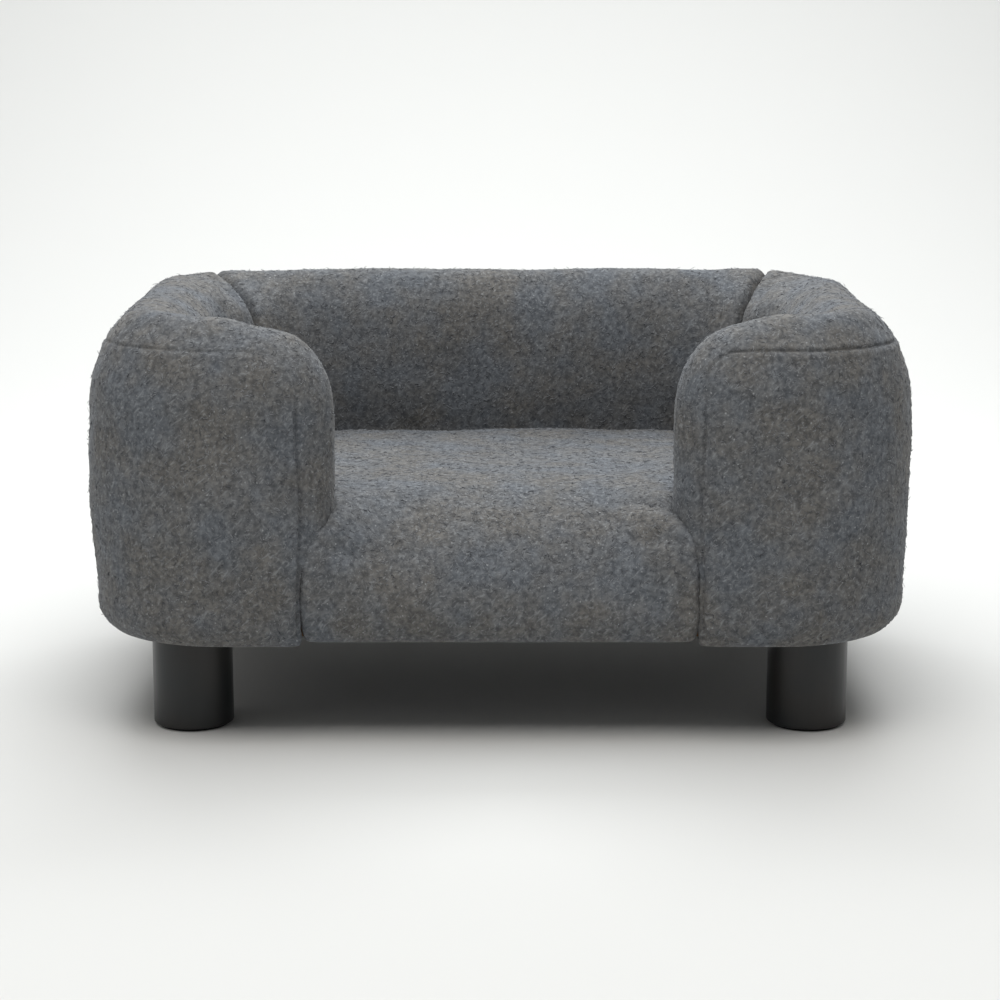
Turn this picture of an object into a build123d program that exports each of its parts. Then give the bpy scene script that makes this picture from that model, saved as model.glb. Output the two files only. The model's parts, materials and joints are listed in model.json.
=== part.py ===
from build123d import *
import os

# Small sofa-style pet bed: a padded C-shaped wall round a padded seat, on four round legs.
# Millimetres. Origin on the floor under the middle; +X to the right, +Y to the back, +Z up.

os.makedirs("parts", exist_ok=True)

# Finished size
width = 610
depth = 450
height = 310
body_bottom = 80
seat_height = 180
wall = 80
corner_radius = 100
inner_corner = 12
entrance = 250
seam_x = 144.5
seam_z = 290

# Upholstery layers
fabric = 2
wadding = 4
tuck_gap = 0.5
outer_foam = 13
roll_radius = 36
return_end_radius = 39
bottom_roll = 20
seat_roll = 50
hem_reach = 27
ring_depth = 40

# Timber frame
board = 3
post = (30, 22)
rail = (20, 36)
deck = 9
plate = 9
plate_bottom = 262
leg_block = 94
cross_rail = 44
side_post_y = 105
back_post_x = 180

# Legs and hardware
leg_radius = 30
leg_x = 232
leg_y = 149
leg_edge = 1.5
leg_bore_radius = 4
leg_bore_depth = 26
glide_radius = 26
glide = 2
dust_cover = 1.2
bolt_radius = 3.9
bolt_length = 57
bolt_end_gap = 1
bolt_chamfer = 0.8
nut_flange = (11, 1.5)
nut_barrel = (4.8, 9.5)
nut_bore_radius = 4
screw_radius = 2
screw_head_radius = 4
screw_head_height = 3
screw_length = 30
long_rail_screws = (-120, 0, 120)
short_rail_screws = (-60, 60)
staple_crown = (10, 1.2, 0.6)
staple_leg = 7
long_rail_staples = range(-165, 166, 55)
short_rail_staples = range(-90, 91, 45)

# Levels and depths that follow from the sizes above
frame_bottom = body_bottom + fabric
rail_top = frame_bottom + rail[1]
deck_top = rail_top + deck
core_depth = fabric + outer_foam
post_depth = core_depth + board
lining_depth = post_depth + post[1]
core_inner = lining_depth + board
plate_top = plate_bottom + plate
return_core = wall - core_inner - fabric
dust_bottom = frame_bottom - dust_cover
low_end = (Align.CENTER, Align.CENTER, Align.MIN)
high_end = (Align.CENTER, Align.CENTER, Align.MAX)
reach = 40


def save(piece, name):
    """Label one finished piece and write it as its own file."""
    piece.label = name
    export_step(piece, f"parts/{name}.step")


def save_pair(piece, name):
    """Write a left-hand piece and its mirror image."""
    with BuildPart() as twin:
        add(piece)
        mirror(about=Plane.YZ, mode=Mode.REPLACE)
    save(piece, f"{name}_left")
    save(twin.part, f"{name}_right")


def slab(inset, low, high):
    """The bed's whole plan, inset from the outside, between two levels."""
    with BuildPart() as block:
        with BuildSketch(Plane.XY.offset(low)):
            RectangleRounded(width - 2 * inset, depth - 2 * inset, corner_radius - inset)
        extrude(amount=high - low)
    return block.part


def outside_corner(inset):
    """Plan corner radius of a line that runs parallel to the wall's outer face."""
    return corner_radius - inset


def inside_corner(inset):
    """Plan corner radius of a line that runs parallel to the wall's inner face."""
    return inner_corner + wall - inset


def wall_plan(outer, inner, end, outer_corner=outside_corner, ring_corner=inside_corner):
    """Plan of the C-shaped wall between two depths from its outer face, square at its ends."""
    with BuildSketch(mode=Mode.PRIVATE) as plan:
        RectangleRounded(width - 2 * outer, depth - 2 * outer, outer_corner(outer))
        RectangleRounded(
            width - 2 * inner, depth - 2 * inner, ring_corner(inner), mode=Mode.SUBTRACT
        )
        with Locations((0, -depth / 2)):
            Rectangle(entrance + 2 * end, depth, mode=Mode.SUBTRACT)
    return plan.sketch


def rolled_plan(inset):
    """Plan of the padded wall, inset all round, with its two front ends rounded."""
    with BuildSketch(mode=Mode.PRIVATE) as plan:
        add(wall_plan(inset, wall - inset, inset))
        end_corners = plan.vertices().sort_by(lambda v: abs(v.X))[:4]
        fillet(end_corners, return_end_radius - inset)
    return plan.sketch


def wall_band(low, high, *plan):
    """A band of the wall between two levels, for its boards and plates."""
    with BuildPart() as band:
        with BuildSketch(Plane.XY.offset(low)):
            add(wall_plan(*plan))
        extrude(amount=high - low)
    return band.part


def wall_body(inset):
    """The rolled wall with all its faces inset by the same depth."""
    with BuildPart() as body:
        with BuildSketch(Plane.XY.offset(body_bottom + inset)):
            add(rolled_plan(inset))
        extrude(amount=height - body_bottom - 2 * inset)
        fillet(body.edges().group_by(Axis.Z)[-1], roll_radius - inset)
        fillet(body.edges().group_by(Axis.Z)[0], bottom_roll - inset)
    return body.part


def seat_body(inset):
    """The seat block with its tongue between the front returns, rolled over at the front."""
    gap = tuck_gap + inset
    front = -depth / 2 + inset
    back = depth / 2 - wall - gap
    with BuildPart() as body:
        with BuildSketch(Plane.XY.offset(body_bottom + inset)):
            with Locations((0, (front + back) / 2)):
                Rectangle(2 * (seam_x - gap), back - front)
            with Locations((0, back / 2 - (depth / 2 - wall) / 2)):
                Rectangle(width - 2 * wall - 2 * gap, back + depth / 2 - wall)
            add(rolled_plan(-gap), mode=Mode.SUBTRACT)
        extrude(amount=seat_height - body_bottom - 2 * inset)
        nose = body.edges().filter_by(Axis.X).group_by(Axis.Y)[0]
        fillet(nose.sort_by(Axis.Z)[-1], seat_roll - inset)
        fillet(nose.sort_by(Axis.Z)[0], bottom_roll - inset)
    return body.part


def zone(*corners):
    """A tall prism over a plan outline, to split the wall at its corner seams."""
    with BuildPart() as prism:
        with BuildSketch(Plane.XY):
            with BuildLine():
                Polyline(*corners, close=True)
            make_face()
        extrude(amount=height + reach)
    return prism.part


def common(first, *others):
    """What several solids share."""
    with BuildPart() as shared:
        add(first)
        for other in others:
            add(other, mode=Mode.INTERSECT)
    return shared.part


def without(first, *others):
    """A solid with others taken out of it."""
    with BuildPart() as rest:
        add(first)
        for other in others:
            add(other, mode=Mode.SUBTRACT)
    return rest.part


# Where the wall divides: 45 degree seams at its corners
far_x = width / 2 + reach
far_y = depth / 2 + reach
near_x = width / 2 - 2 * wall
near_y = depth / 2 - 2 * wall
back_zone = zone((-far_x, far_y), (far_x, far_y), (near_x, near_y), (-near_x, near_y))
side_zone = zone((-far_x, far_y), (-near_x, near_y), (-near_x, -near_y), (-far_x, -far_y))
return_zone = zone((-far_x, -far_y), (-near_x, -near_y), (0, -near_y), (0, -far_y))
arm_zone = zone(
    (-far_x, far_y), (-near_x, near_y), (-near_x, -near_y), (0, -near_y), (0, -far_y), (-far_x, -far_y)
)

# Everything hard that the padding is built over
wall_core = wall_band(deck_top, plate_top, core_depth, core_inner, return_core)
base_core = slab(core_depth, frame_bottom, deck_top)
hem_cut = slab(hem_reach, 0, frame_bottom)

# Screws: the deck to the rails, and the wall plates to the posts
rail_middle = post_depth + rail[0] / 2
post_middle = post_depth + post[1] / 2
deck_screw_places = [
    *[(x, s * (depth / 2 - rail_middle)) for x in long_rail_screws for s in (-1, 1)],
    *[(s * (width / 2 - rail_middle), y) for y in short_rail_screws for s in (-1, 1)],
]
post_places = {
    "post_side_front": (post_middle - width / 2, -side_post_y, 90),
    "post_side_rear": (post_middle - width / 2, side_post_y, 90),
    "post_back": (-back_post_x, depth / 2 - post_middle, 0),
    "post_return": (-entrance / 2 - return_core - post[0] / 2, post_middle - depth / 2, 0),
}
plate_screw_places = [(s * x, y) for x, y, _ in post_places.values() for s in (-1, 1)]

with BuildPart() as frame_screws:
    with Locations(
        *[(x, y, deck_top) for x, y in deck_screw_places],
        *[(x, y, plate_top) for x, y in plate_screw_places],
    ):
        Cylinder(screw_radius, screw_length, align=high_end)
        Cone(screw_radius, screw_head_radius, screw_head_height, align=high_end)
save(frame_screws.part, "frame_screws")

# Staples under the rails: one row through the covers' hems, one through the dust cover
hem_row = (hem_reach + post_depth) / 2
dust_row = (hem_reach + post_depth + rail[0]) / 2
staple_places = []
for row, level in ((hem_row, body_bottom), (dust_row, dust_bottom)):
    for s in (-1, 1):
        for x in long_rail_staples:
            staple_places.append(Location((x, s * (depth / 2 - row), level)))
        for y in short_rail_staples:
            staple_places.append(Location((s * (width / 2 - row), y, level), (0, 0, 90)))
staple_leg_offset = (staple_crown[0] - staple_crown[2]) / 2

with BuildPart() as staples:
    with Locations(*staple_places):
        Box(*staple_crown, align=high_end)
        with Locations((-staple_leg_offset, 0, 0), (staple_leg_offset, 0, 0)):
            Box(staple_crown[2], staple_crown[1], staple_leg, align=low_end)
save(staples.part, "staples")

# Base frame: four rails butted between four corner blocks, and one cross rail
block_x = width / 2 - post_depth - leg_block
block_y = depth / 2 - post_depth - leg_block
rail_places = {
    "base_rail_front": (2 * block_x, rail[0], 0, rail_middle - depth / 2),
    "base_rail_rear": (2 * block_x, rail[0], 0, depth / 2 - rail_middle),
    "base_rail_left": (rail[0], 2 * block_y, rail_middle - width / 2, 0),
    "base_rail_right": (rail[0], 2 * block_y, width / 2 - rail_middle, 0),
    "base_rail_cross": (cross_rail, depth - 2 * post_depth - 2 * rail[0], 0, 0),
}
for name, (along, across, x, y) in rail_places.items():
    with BuildPart() as base_rail:
        with BuildSketch(Plane.XY.offset(frame_bottom)):
            with Locations((x, y)):
                Rectangle(along, across)
        extrude(amount=rail[1])
        add(frame_screws.part, mode=Mode.SUBTRACT)
        add(staples.part, mode=Mode.SUBTRACT)
    save(base_rail.part, name)

# Corner blocks, rounded to the wall's corner and bored for the leg's threaded insert
corners = {"front_left": (-1, -1), "front_right": (1, -1), "rear_left": (-1, 1), "rear_right": (1, 1)}
leg_places = {corner: (sx * leg_x, sy * leg_y) for corner, (sx, sy) in corners.items()}
for corner, (sx, sy) in corners.items():
    with BuildPart() as block:
        with BuildSketch(Plane.XY.offset(frame_bottom)):
            with Locations((sx * (block_x + leg_block / 2), sy * (block_y + leg_block / 2))):
                Rectangle(leg_block, leg_block)
            RectangleRounded(
                width - 2 * post_depth, depth - 2 * post_depth, corner_radius - post_depth,
                mode=Mode.INTERSECT,
            )
        extrude(amount=rail[1])
        with Locations((*leg_places[corner], rail_top)):
            CounterBoreHole(nut_barrel[0], nut_flange[0], nut_flange[1])
    save(block.part, f"leg_block_{corner}")

# Plywood deck over the whole base
with BuildPart() as seat_deck:
    add(slab(post_depth, rail_top, deck_top))
    add(frame_screws.part, mode=Mode.SUBTRACT)
save(seat_deck.part, "seat_deck")

# Wall posts, mirrored left to right
for name, (x, y, turn) in post_places.items():
    with BuildPart() as wall_post:
        with BuildSketch(Plane.XY.offset(deck_top)):
            with Locations(Location((x, y, 0), (0, 0, turn))):
                Rectangle(*post)
        extrude(amount=plate_bottom - deck_top)
        add(frame_screws.part, mode=Mode.SUBTRACT)
    save_pair(wall_post.part, name)

# Plywood plates on top of the posts
wall_plates = without(
    wall_band(plate_bottom, plate_top, core_depth, core_inner, return_core), frame_screws.part
)
save(common(wall_plates, back_zone), "wall_plate_back")
save_pair(common(wall_plates, arm_zone), "wall_plate")

# Hardboard skins: bent round the outside, and flat panels on the inside
outer_boards = wall_band(
    frame_bottom, plate_bottom, core_depth, post_depth, return_core, outside_corner, outside_corner
)
save(common(outer_boards, back_zone), "outer_board_back")
save_pair(common(outer_boards, arm_zone), "outer_board")

inner_boards = wall_band(
    deck_top, plate_bottom, lining_depth, core_inner, return_core, inside_corner, inside_corner
)
save(common(inner_boards, back_zone), "inner_board_back")
save_pair(common(inner_boards, side_zone), "inner_board_side")
save_pair(common(inner_boards, return_zone), "inner_board_return")

with BuildPart() as front_board:
    with BuildSketch(Plane.XY.offset(frame_bottom)):
        with Locations((0, -depth / 2 + core_depth + board / 2)):
            Rectangle(entrance + 2 * return_core, board)
    extrude(amount=deck_top - frame_bottom)
save(front_board.part, "front_board")

# Wall foam: an inverted U over the frame, in five blocks mitred at the corners
wall_foam = without(wall_body(fabric), wall_core, base_core)
save(common(wall_foam, back_zone), "foam_back")
save_pair(common(wall_foam, side_zone), "foam_side")
save_pair(common(wall_foam, return_zone), "foam_return")

# Seat foam, the wadding over it and the cover over both
seat_cover_body = seat_body(0)
seat_wadding_body = seat_body(fabric)
seat_foam_body = seat_body(fabric + wadding)
save(without(seat_foam_body, base_core), "foam_seat")
save(without(seat_wadding_body, seat_foam_body, base_core), "seat_wadding")
save(
    without(seat_cover_body, seat_wadding_body, base_core, hem_cut, staples.part), "cover_seat"
)

# Wall covers: an outer band up to the top seam, and a panel over the top and down the inside
wall_cover = without(wall_body(0), wall_body(fabric), wall_core, base_core, hem_cut, staples.part)
outer_ring = without(slab(0, 0, seam_z), slab(ring_depth, 0, seam_z))
left_of_seam = zone((-far_x, -far_y), (-seam_x, -far_y), (-seam_x, far_y), (-far_x, far_y))
arm_outer = common(outer_ring, arm_zone, left_of_seam)
back_outer = common(outer_ring, back_zone)
save_pair(common(wall_cover, arm_outer), "cover_outer")
save(common(wall_cover, back_outer), "cover_outer_back")
hem_layer = slab(0, 0, frame_bottom)
save_pair(without(common(wall_cover, arm_zone), arm_outer, hem_layer), "cover_top")
save(without(common(wall_cover, back_zone), back_outer), "cover_back_roll")

# Black cloth that closes the underside inside the hems
with BuildPart() as underside:
    add(slab(hem_reach, dust_bottom, frame_bottom))
    with Locations(*[(x, y, frame_bottom) for x, y in leg_places.values()]):
        Hole(nut_barrel[0])
    add(staples.part, mode=Mode.SUBTRACT)
save(underside.part, "dust_cover")

# Legs, each with a glide under it
for corner, (x, y) in leg_places.items():
    with BuildPart() as leg:
        with Locations((x, y, glide)):
            Cylinder(leg_radius, dust_bottom - glide, align=low_end)
        chamfer(leg.edges().group_by(Axis.Z)[-1], leg_edge)
        fillet(leg.edges().group_by(Axis.Z)[0], leg_edge)
        with Locations((x, y, dust_bottom)):
            Hole(leg_bore_radius, depth=leg_bore_depth)
    save(leg.part, f"leg_{corner}")

    with BuildPart() as leg_glide:
        with Locations((x, y, 0)):
            Cylinder(glide_radius, glide, align=low_end)
    save(leg_glide.part, f"glide_{corner}")

# Hanger bolts in the legs and flanged threaded inserts in the corner blocks
bolt_bottom = dust_bottom - leg_bore_depth + bolt_end_gap
with BuildPart() as hanger_bolts:
    with Locations(*[(x, y, bolt_bottom) for x, y in leg_places.values()]):
        Cylinder(bolt_radius, bolt_length, align=low_end)
    chamfer(hanger_bolts.edges(), bolt_chamfer)
save(hanger_bolts.part, "hanger_bolts")

with BuildPart() as tee_nuts:
    with Locations(*[(x, y, rail_top) for x, y in leg_places.values()]):
        Cylinder(nut_flange[0], nut_flange[1], align=high_end)
        Cylinder(nut_barrel[0], nut_barrel[1] + nut_flange[1], align=high_end)
        Hole(nut_bore_radius)
save(tee_nuts.part, "tee_nuts")
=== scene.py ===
import json
import math
import bmesh
import bpy
import numpy as np
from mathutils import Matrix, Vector
from mathutils.kdtree import KDTree


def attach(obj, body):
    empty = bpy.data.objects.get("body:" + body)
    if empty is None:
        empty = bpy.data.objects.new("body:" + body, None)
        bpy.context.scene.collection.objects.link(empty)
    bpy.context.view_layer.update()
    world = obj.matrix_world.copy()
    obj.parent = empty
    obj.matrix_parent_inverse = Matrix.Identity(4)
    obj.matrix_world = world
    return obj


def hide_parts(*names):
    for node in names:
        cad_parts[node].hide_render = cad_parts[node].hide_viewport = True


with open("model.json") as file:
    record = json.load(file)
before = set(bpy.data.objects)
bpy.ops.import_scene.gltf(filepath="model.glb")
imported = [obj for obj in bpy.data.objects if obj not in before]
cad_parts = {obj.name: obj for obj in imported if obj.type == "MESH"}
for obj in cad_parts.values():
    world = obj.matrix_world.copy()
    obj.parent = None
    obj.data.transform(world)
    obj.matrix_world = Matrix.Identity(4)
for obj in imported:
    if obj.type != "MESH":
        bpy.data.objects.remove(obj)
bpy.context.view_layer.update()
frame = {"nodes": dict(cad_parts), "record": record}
print("frame loaded", len(frame["nodes"]), "nodes")


# small helpers

def mm(value):
    return value / 1000


def clearSelection():
    if bpy.context.object and bpy.context.object.mode != "OBJECT":
        bpy.ops.object.mode_set(mode="OBJECT")
    bpy.ops.object.select_all(action="DESELECT")


def makeActive(piece):
    clearSelection()
    piece.select_set(True)
    bpy.context.view_layer.objects.active = piece


def finishForm(piece):
    # doubles merged, faces outwards, place moved into the mesh
    makeActive(piece)
    bpy.ops.object.transform_apply(location=True, rotation=True, scale=True)
    bpy.ops.object.mode_set(mode="EDIT")
    bpy.ops.mesh.select_all(action="SELECT")
    bpy.ops.mesh.remove_doubles(threshold=mm(0.05))
    bpy.ops.mesh.normals_make_consistent(inside=False)
    bpy.ops.object.mode_set(mode="OBJECT")
    bpy.ops.object.shade_smooth()


def applyModifier(piece, kind, **settings):
    makeActive(piece)
    modifier = piece.modifiers.new(kind.lower(), kind)
    for key, value in settings.items():
        setattr(modifier, key, value)
    bpy.ops.object.modifier_apply(modifier=modifier.name)


def getPoints(piece):
    flat = np.zeros(len(piece.data.vertices) * 3, np.float32)
    piece.data.vertices.foreach_get("co", flat)
    return flat.reshape(-1, 3).astype(float)


def setPoints(piece, points):
    piece.data.vertices.foreach_set("co", points.astype(np.float32).ravel())
    piece.data.update()


def getNormals(piece):
    flat = np.zeros(len(piece.data.vertices) * 3, np.float32)
    piece.data.vertices.foreach_get("normal", flat)
    return flat.reshape(-1, 3).astype(float)


def smoothStep(low, high, value):
    t = np.clip((value - low) / (high - low), 0, 1)
    return t * t * (3 - 2 * t)


# camera half a metre up, looking slightly down at the open front
cameraSet = {"distance": 1.958, "height": 0.523, "pitch": 11.00, "lens": 88.92}

cameraData = bpy.data.cameras.new("camera")
cameraData.lens = cameraSet["lens"]
camera = bpy.data.objects.new("camera", cameraData)
camera.location = (0, -cameraSet["distance"], cameraSet["height"])
camera.rotation_euler = (math.radians(90 - cameraSet["pitch"]), 0, 0)
bpy.context.scene.collection.objects.link(camera)
bpy.context.scene.camera = camera


# padded wall: shared plan and section, in metres
wall = {
    "cornerX": 0.205,
    "cornerY": 0.125,
    "middleRadius": 0.060,
    "half": 0.040,
    "low": 0.0795,
    "flat": 0.0840,
    "ridge": 0.310,
    "outerDome": 0.050,
    "innerDome": 0.072,
    "bottomRoll": 0.014,
    "lipDrop": 0.0055,
    "lipAt": 0.026,
    "lipWide": 0.008,
    "bulge": 0.0030,
    "lean": 0.0008,
    "leanFrom": 0.150,
    "undercut": 0.004,
    "slack": -0.0006,
    "voxel": 0.005,
}


def faceOut(z, values):
    # how far the outer face stands out: fullest at mid height, drawn in and rolled under at the bottom
    out = values["bulge"] * math.exp(-(((z - 0.175) / 0.080) ** 2))
    if z < values["leanFrom"]:
        out -= values["lean"] * ((values["leanFrom"] - z) / 0.062) ** 1.3
    above = z - values["low"]
    if above < values["bottomRoll"]:
        out -= values["bottomRoll"] - math.sqrt(max(values["bottomRoll"] ** 2 - (values["bottomRoll"] - above) ** 2, 0))
    return out


def wallSection(values):
    # closed line of the padded wall's cross section: (outward, up), from the bottom round the outside
    half = values["half"] - values["slack"]
    ridge = values["ridge"] - values["slack"]
    low, flat = values["low"], values["flat"]
    outerTop, innerTop = ridge - values["outerDome"], ridge - values["innerDome"]
    lip = half + faceOut(low, values)
    line = [(-0.010, flat), (0.0, flat), (lip - 0.005, low + 0.0005)]
    for i in range(7):
        z = low + values["bottomRoll"] * (1 - math.cos(math.radians(90 * i / 7)))
        line.append((half + faceOut(z, values), z))
    for z in np.linspace(low + values["bottomRoll"], outerTop, 22, endpoint=False):
        line.append((half + faceOut(z, values), z))
    for i in range(12):
        a = math.radians(90 * i / 12)
        z = outerTop + values["outerDome"] * math.sin(a)
        line.append(((half + faceOut(z, values) * (1 - i / 12)) * math.cos(a), z))
    for i in range(14):
        a = math.radians(90 + 90 * i / 14)
        line.append((half * math.cos(a), innerTop + values["innerDome"] * math.sin(a)))
    for z in np.linspace(innerTop, flat, 16, endpoint=False):
        tuck = values["undercut"] * min(1, (innerTop - z) / 0.055)
        line.append((-half + tuck, z))
    for n in np.linspace(-half + values["undercut"], -0.010, 4, endpoint=False):
        line.append((n, flat))
    return line


def sectionFace(name, line, place):
    # a circle with one corner for each point of the section, moved onto it
    clearSelection()
    bpy.ops.mesh.primitive_circle_add(vertices=len(line), radius=wall["half"], fill_type="NGON")
    piece = bpy.context.object
    piece.name = piece.data.name = name
    for vertex, point in zip(piece.data.vertices, line):
        vertex.co = place(*point)
    return piece


def selectCap(piece, near):
    # the many-sided end face nearest to a point
    mesh = bmesh.from_edit_mesh(piece.data)
    for face in mesh.faces:
        face.select = False
    caps = [face for face in mesh.faces if len(face.verts) > 8]
    cap = min(caps, key=lambda face: (face.calc_center_median() - Vector(near)).length)
    cap.select = True
    mesh.select_flush(True)
    bmesh.update_edit_mesh(piece.data)
    return cap


def extrudeSteps(travel, steps):
    for _ in range(steps):
        move = tuple(value / steps for value in travel)
        bpy.ops.mesh.extrude_region_move(TRANSFORM_OT_translate={"value": move})


def spinTo(degrees, centre, steps):
    bpy.ops.mesh.spin(steps=steps, angle=-math.radians(degrees), center=(*centre, 0), axis=(0, 0, 1))


def planOut(x, y):
    # distance outwards from the middle line of the wall, in plan
    dx, dy = np.abs(x) - wall["cornerX"], np.abs(y) - wall["cornerY"]
    outside = np.hypot(np.maximum(dx, 0), np.maximum(dy, 0))
    return outside + np.minimum(np.maximum(dx, dy), 0) - wall["middleRadius"]


def hangLip(piece, drop):
    # the stapled cover hangs a little below the base just inside its lower edge
    points = getPoints(piece)
    x, y, z = points.T
    across = np.exp(-(((planOut(x, y) - wall["lipAt"]) / wall["lipWide"]) ** 2))
    points[:, 2] = z - drop * across * (1 - smoothStep(0.084, 0.112, z))
    setPoints(piece, points)


def cutAway(piece, cutter):
    finishForm(cutter)
    applyModifier(piece, "BOOLEAN", operation="DIFFERENCE", object=cutter, solver="EXACT")
    bpy.data.objects.remove(cutter)


def holdAndSwell(piece, held, pressure, cap, frames=20):
    # the filling pushes the cover out between the places where it is held
    rest = getPoints(piece)
    makeActive(piece)
    group = piece.vertex_groups.new(name="held")
    group.add([int(i) for i in np.flatnonzero(held)], 1.0, "REPLACE")
    cloth = piece.modifiers.new("swell", "CLOTH")
    cloth.settings.vertex_group_mass = group.name
    cloth.settings.use_pressure = True
    cloth.settings.uniform_pressure_force = pressure
    cloth.settings.effector_weights.gravity = 0
    cloth.settings.quality = 4
    cloth.point_cache.frame_end = frames
    for number in range(1, frames + 1):
        bpy.context.scene.frame_set(number)
    bpy.ops.object.modifier_apply(modifier=cloth.name)
    bpy.context.scene.frame_set(1)
    moved = getPoints(piece) - rest
    length = np.linalg.norm(moved, axis=1)
    share = np.minimum(1, cap / np.maximum(length, 1e-9))
    setPoints(piece, rest + moved * share[:, None])
    piece.vertex_groups.clear()
    print(piece.name, "swelled by", round(float(length.max()) * 1000, 1), "mm at most before the cap")


def remesh(piece, size):
    applyModifier(piece, "REMESH", mode="VOXEL", voxel_size=size, use_smooth_shade=True)


def relax(piece, rounds, factor=0.5):
    applyModifier(piece, "SMOOTH", iterations=rounds, factor=factor)


def subdivideOnce(piece):
    applyModifier(piece, "SUBSURF", levels=1, render_levels=1)


def nearLine(piece, line):
    # each vertex's distance to a line of close points, and the number of the nearest one
    tree = KDTree(len(line))
    for i, point in enumerate(line):
        tree.insert(point, i)
    tree.balance()
    found = [tree.find(vertex.co)[1:] for vertex in piece.data.vertices]
    return np.array([f[1] for f in found]), np.array([f[0] for f in found])


def refineNear(piece, line, reach, cuts):
    # finer faces beside a seam, so that its valley is real geometry
    distance, _ = nearLine(piece, line)
    makeActive(piece)
    bpy.ops.object.mode_set(mode="EDIT")
    mesh = bmesh.from_edit_mesh(piece.data)
    mesh.verts.ensure_lookup_table()
    for face in mesh.faces:
        face.select = all(distance[vertex.index] < reach for vertex in face.verts)
    mesh.select_flush(False)
    bmesh.update_edit_mesh(piece.data)
    bpy.ops.mesh.select_mode(type="FACE")
    bpy.ops.mesh.subdivide(number_cuts=cuts, smoothness=0)
    bpy.ops.object.mode_set(mode="OBJECT")


seamSet = {"depth": 0.0030, "width": 0.0013, "shoulder": 0.0009, "shoulderAt": 0.0045, "pucker": 0.0003}


def carveSeam(piece, line, strength, seed):
    # a narrow valley whose lower lip stands up, and small puckers along it
    distance, index = nearLine(piece, line)
    points = getPoints(piece)
    below = np.clip((np.array(line)[index][:, 2] - points[:, 2]) / 0.004, -1, 1)
    valley = seamSet["depth"] * np.exp(-((distance / seamSet["width"]) ** 2))
    shoulder = seamSet["shoulder"] * np.exp(-(((distance - seamSet["shoulderAt"]) / 0.003) ** 2))
    along = index * 0.001 + seed
    ripple = np.sin(along / 0.0105 * 2 * math.pi) + 0.6 * np.sin(along / 0.0173 * 2 * math.pi)
    pucker = seamSet["pucker"] * ripple * np.exp(-(((distance - 0.004) / 0.004) ** 2))
    push = np.asarray(strength)[index] * (shoulder * (1 + 0.6 * below) + pucker - valley)
    setPoints(piece, points + getNormals(piece) * push[:, None])


def unevenness(points, seed, size):
    # a smooth random height, from a few waves in random directions
    rng = np.random.default_rng(seed)
    height = np.zeros(len(points))
    for _ in range(14):
        direction = rng.normal(size=3)
        direction /= np.linalg.norm(direction)
        wave = size * rng.uniform(0.7, 1.6)
        height += np.sin(points @ direction / wave * 2 * math.pi + rng.uniform(0, 6.28))
    return height / 3.7


def roughen(piece, seed, size, height):
    # uneven filling everywhere but under the base, where the cover is stapled flat
    points = getPoints(piece)
    push = unevenness(points, seed, size) * height * smoothStep(0.083, 0.100, points[:, 2])
    setPoints(piece, points + getNormals(piece) * push[:, None])


cornerPuff = {"rise": 0.0060, "fill": 0.026}

# left and right arms: rear corner, side, front corner and the return that hooks inwards
arms = {
    "armLeft": {
        "side": -1,
        "mitre": 56,
        "endX": 0.1205,
        "splay": 0.022,
        "tuckIn": 0.0030,
        "sideSeam": 0.75,
        "topSeam": 0.30,
        "topFade": 0.8,
        "seed": 11,
        "nodes": ["foam_side_left", "foam_return_left", "cover_outer_left", "cover_top_left"],
    },
    "armRight": {
        "side": 1,
        "mitre": 70,
        "endX": 0.1265,
        "splay": 0.014,
        "tuckIn": 0.0018,
        "sideSeam": 0.65,
        "topSeam": 0.50,
        "topFade": 0.2,
        "seed": 23,
        "nodes": ["foam_side_right", "foam_return_right", "cover_outer_right", "cover_top_right"],
    },
}
armShape = {
    "endRound": 0.040,
    "endBase": 0.243,
    "endSink": 0.10,
    "seamOut": 0.0295,
    "seamZ": 0.2905,
    "seamX": 0.1446,
    "ledge": 0.136,
    "mitreRound": 0.008,
    "pressure": 3.0,
    "cap": 0.0027,
}


def roundEnd(piece, side, startX, length):
    # the return's end: a half round in plan whose top falls away in an arc
    lastSpan, lastRise = 1.0, 1.0
    for i in range(1, 10):
        t = math.sin(math.radians(90 * i / 9.35))
        extrudeSteps((0, 0, 0), 1)
        span = math.sqrt(1 - t * t)
        mesh = bmesh.from_edit_mesh(piece.data)
        for vertex in mesh.verts:
            if vertex.select:
                vertex.co.x = side * (startX - length * t)
                vertex.co.y = -wallMiddleY + (vertex.co.y + wallMiddleY) * span / lastSpan
                if vertex.co.z > armShape["endBase"]:
                    rise = vertex.co.z - armShape["endBase"]
                    vertex.co.z = armShape["endBase"] + rise * span / lastRise
        bmesh.update_edit_mesh(piece.data)
        lastSpan = lastRise = span


wallMiddleX = wall["cornerX"] + wall["middleRadius"]
wallMiddleY = wall["cornerY"] + wall["middleRadius"]


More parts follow.
